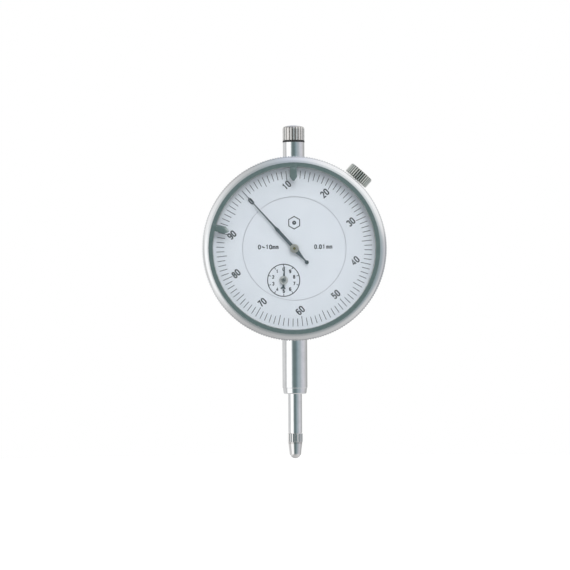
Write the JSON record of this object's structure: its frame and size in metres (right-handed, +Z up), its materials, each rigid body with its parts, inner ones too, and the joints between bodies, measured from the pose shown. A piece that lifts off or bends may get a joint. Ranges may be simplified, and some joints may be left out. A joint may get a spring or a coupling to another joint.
{
  "type": "dial indicator",
  "caption": "Plunger dial indicator with a round turning bezel, two limit markers, a revolution counter, a plain clamping stem and a lug back.",
  "frame": {"origin": "middle of the straight length of the clamping stem, on its axis", "axes": "+Z up along the spindle, from the contact point to the lifting cap; the dial faces -Y; +X to the dial's right"},
  "size_m": [0.0586, 0.0343, 0.1072],
  "materials": {
    "satin_chrome": "satin",
    "polished_chrome": "polished",
    "dark_chrome": "polished, dark",
    "nickel": "bright, knurled",
    "bronze": "bored",
    "rubber": "matt",
    "screw_steel": "zinc plated",
    "plate_brass": "brushed",
    "gear_brass": "polished",
    "arbor_steel": "polished",
    "pinion_brass": "polished",
    "spring_steel": "drawn wire",
    "blued_steel": "blued",
    "dial_paint": "satin",
    "crystal": "clear",
    "pointer_paint": "satin",
    "pointer_boss": "turned"
  },
  "bodies": {
    "case": {"case_body": "satin_chrome", "stem": "polished_chrome", "lower_bushing": "bronze", "neck_sleeve": "polished_chrome", "upper_bushing": "bronze", "stop_washer": "rubber", "back_cover": "satin_chrome", "cover_screws": "screw_steel", "movement_plate": "plate_brass", "movement_screws": "screw_steel", "movement_spacers": "plate_brass", "bridge_pillars": "plate_brass", "front_bridge": "plate_brass", "bridge_screws": "screw_steel", "rear_cock": "plate_brass", "cock_pillars": "plate_brass", "cock_screws": "screw_steel", "arbor_bushes": "gear_brass", "guide_rail": "plate_brass", "rail_screws": "screw_steel", "spring_post": "plate_brass", "return_spring": "spring_steel", "hairspring": "blued_steel", "hairspring_stud": "plate_brass", "inner_dial": "dial_paint", "dial_feet": "plate_brass", "bezel_spring_ring": "spring_steel"},
    "bezel": {"bezel": "satin_chrome", "scale_ring": "dial_paint", "crystal": "crystal", "crystal_ring": "dark_chrome"},
    "marker_a": {"tolerance_marker_a": "dark_chrome"},
    "marker_b": {"tolerance_marker_b": "dark_chrome"},
    "spindle": {"spindle": "polished_chrome", "contact_point": "nickel", "lifting_cap": "nickel", "guide_pin": "screw_steel"},
    "counter": {"rack_pinion": "arbor_steel", "drive_gear": "gear_brass", "counter_pointer": "pointer_paint", "counter_boss": "pointer_boss"},
    "pointer": {"centre_pinion": "pinion_brass", "main_pointer": "pointer_paint", "pointer_boss": "pointer_boss"},
    "takeup": {"takeup_arbor": "arbor_steel", "takeup_gear": "gear_brass"},
    "clamp_shoe": {"clamp_shoe": "bronze"},
    "clamp_screw": {"clamp_screw": "nickel"}
  },
  "joints": [
    {"name": "spindle_slide", "type": "slide", "parent": "case", "child": "spindle", "axis": [0, 0, 1], "range_m": [0, 0.01], "stiffness_N_per_m": 30, "springref_m": -0.02, "deforming": ["return_spring"]},
    {"name": "pointer_turn", "type": "hinge", "parent": "case", "child": "pointer", "pos_m": [0, 0, 0.036], "axis": [0, 1, 0], "range_deg": [-10, 3610]},
    {"name": "counter_turn", "type": "hinge", "parent": "case", "child": "counter", "pos_m": [-0.00344, 0, 0.02593], "axis": [0, -1, 0], "range_deg": [-1, 361]},
    {"name": "takeup_turn", "type": "hinge", "parent": "case", "child": "takeup", "pos_m": [0.0087, 0, 0.04212], "axis": [0, -1, 0], "range_deg": [-1, 361]},
    {"name": "bezel_turn", "type": "hinge", "parent": "case", "child": "bezel", "pos_m": [0, 0, 0.036], "axis": [0, -1, 0], "continuous": true},
    {"name": "marker_a_turn", "type": "hinge", "parent": "bezel", "child": "marker_a", "pos_m": [0, 0, 0.036], "axis": [0, 1, 0], "range_deg": [-34, 140]},
    {"name": "marker_b_turn", "type": "hinge", "parent": "bezel", "child": "marker_b", "pos_m": [0, 0, 0.036], "axis": [0, 1, 0], "range_deg": [-130, 34]},
    {"name": "clamp_slide", "type": "slide", "parent": "case", "child": "clamp_shoe", "axis": [-0.6652, 0, -0.7466], "range_m": [-0.0004, 0.00016]},
    {"name": "clamp_turn", "type": "hinge", "parent": "clamp_shoe", "child": "clamp_screw", "pos_m": [0.02062, -0.0059, 0.05915], "axis": [-0.6652, 0, -0.7466], "range_deg": [-361, 145]}
  ],
  "couplings": [
    {"joint": "pointer_turn", "follows": "spindle_slide", "rad_per_m": 6283.2},
    {"joint": "counter_turn", "follows": "spindle_slide", "rad_per_m": 628.32},
    {"joint": "takeup_turn", "follows": "spindle_slide", "rad_per_m": 628.32},
    {"joint": "clamp_turn", "follows": "clamp_slide", "rad_per_m": 15708}
  ]
}
